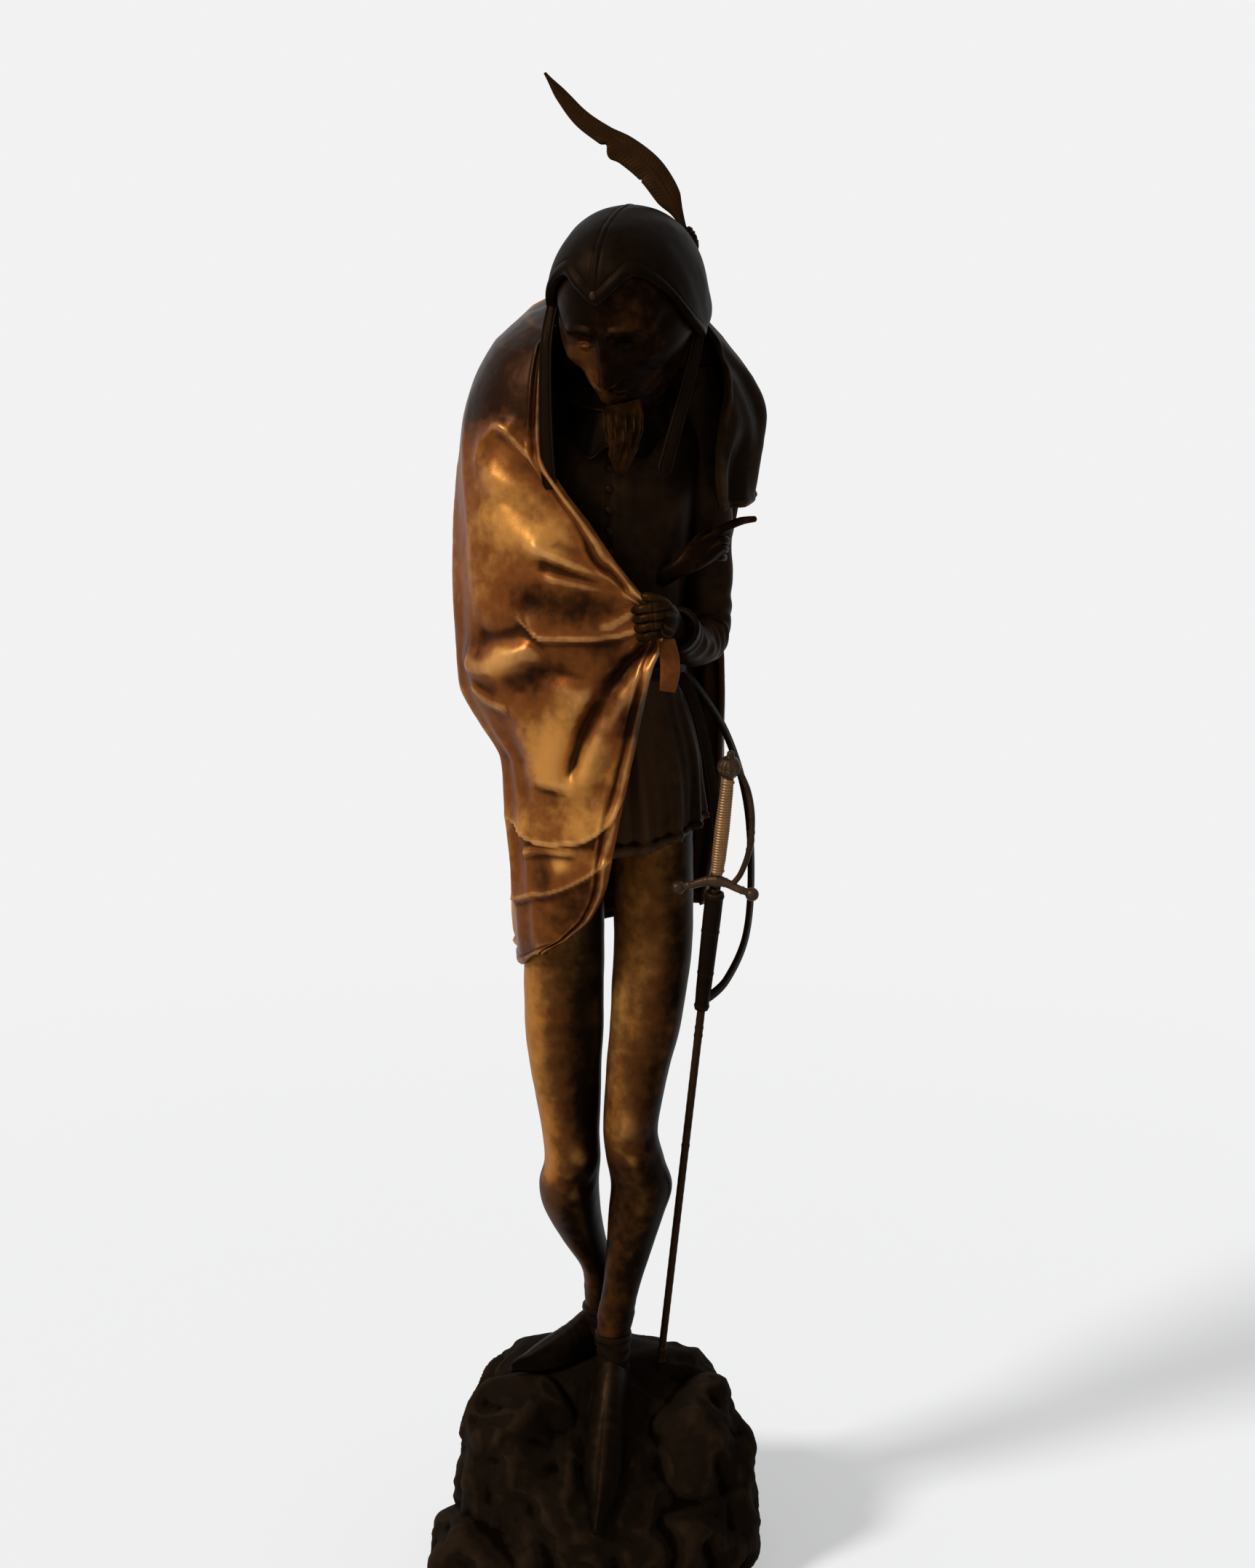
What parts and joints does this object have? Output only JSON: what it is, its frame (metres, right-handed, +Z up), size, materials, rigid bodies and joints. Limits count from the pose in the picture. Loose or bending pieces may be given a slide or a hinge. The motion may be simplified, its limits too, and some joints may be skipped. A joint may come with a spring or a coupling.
{
  "type": "bronze devil statue",
  "caption": "Slim cloaked bronze figure in a close pointed cap with a long feather, standing on a rock with a sword at its side.",
  "frame": {"origin": "centre of the box round the whole statue, at the foot of the rock", "axes": "+Z up; the figure faces -Y, so its right side is at -X"},
  "size_m": [0.2, 0.188, 0.8736],
  "materials": {
    "rock_bronze": "dark brown patina, rough",
    "cloak_bronze": "golden brown patina, worn on the folds",
    "hose_bronze": "brown patina, satin",
    "dark_bronze": "near-black brown patina, satin",
    "sword_bronze": "brown patina with rubbed edges",
    "fixings": "bare turned metal"
  },
  "bodies": {
    "statue": {"rock_base": "rock_bronze", "cloak_front": "cloak_bronze", "cloak_back": "cloak_bronze", "leg_right": "hose_bronze", "leg_left": "hose_bronze", "head": "hose_bronze", "hand_left": "hose_bronze", "hand_right": "hose_bronze", "shoe_right": "dark_bronze", "shoe_left": "dark_bronze", "trunk": "dark_bronze", "tunic_skirt": "dark_bronze", "belt": "dark_bronze", "cap": "dark_bronze", "feather_clasp": "dark_bronze", "cloak_left": "dark_bronze", "sleeve_left": "dark_bronze", "cuff_left": "dark_bronze", "collar": "dark_bronze", "lappet_right": "dark_bronze", "lappet_left": "dark_bronze", "sword_hanger": "dark_bronze", "foot_stud_right": "fixings", "foot_stud_left": "fixings", "foot_washer_right": "fixings", "foot_washer_left": "fixings", "foot_nut_right": "fixings", "foot_nut_left": "fixings", "hip_bolt_right": "fixings", "hip_bolt_left": "fixings", "neck_stud": "fixings", "neck_nut": "fixings", "cloak_pin_right": "fixings", "cloak_pin_back": "fixings", "wrist_stud": "fixings", "hand_stud": "fixings"},
    "sword": {"scabbard": "sword_bronze", "guard": "sword_bronze", "grip": "sword_bronze", "pommel": "sword_bronze", "knuckle_bow": "sword_bronze"},
    "feather": {"feather": "sword_bronze"}
  },
  "joints": [
    {"name": "sword_lift", "type": "slide", "parent": "statue", "child": "sword", "axis": [0.0937, -0.1398, 0.9857], "range_m": [0, 0.32]},
    {"name": "feather_lift", "type": "slide", "parent": "statue", "child": "feather", "axis": [-0.425, 0.1619, 0.8906], "range_m": [0, 0.03]}
  ]
}
